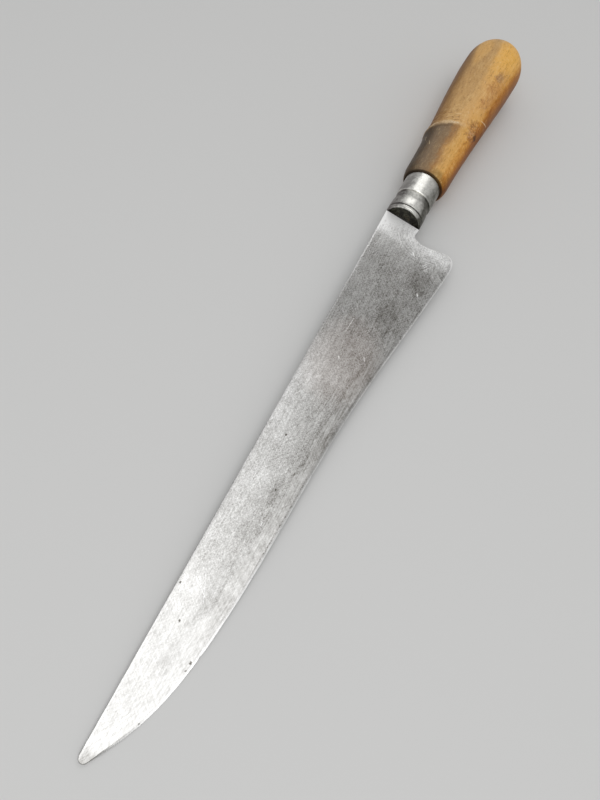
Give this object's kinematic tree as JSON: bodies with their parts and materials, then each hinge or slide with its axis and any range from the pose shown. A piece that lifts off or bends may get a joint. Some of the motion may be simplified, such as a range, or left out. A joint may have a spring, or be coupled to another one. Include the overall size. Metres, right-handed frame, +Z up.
{
  "type": "kitchen knife",
  "caption": "Cook's knife with a long flat-ground blade, notched heel and blind tang, bedded in pitch inside a turned nickel-silver ferrule and a rounded horn handle, lying on its side.",
  "frame": {"origin": "on the table, under the middle of the box round the knife as it lies on its side", "axes": "+X along the knife from the butt to the tip, +Y across it from the spine to the cutting edge, +Z up"},
  "size_m": [0.3872, 0.0472, 0.0312],
  "materials": {
    "carbon_steel": "satin",
    "nickel_silver": "polished",
    "cutlers_pitch": "matte",
    "horn": "satin"
  },
  "bodies": {
    "root": {"blade": "carbon_steel", "ferrule": "nickel_silver", "tang_pitch": "cutlers_pitch", "horn_handle": "horn"}
  },
  "joints": []
}
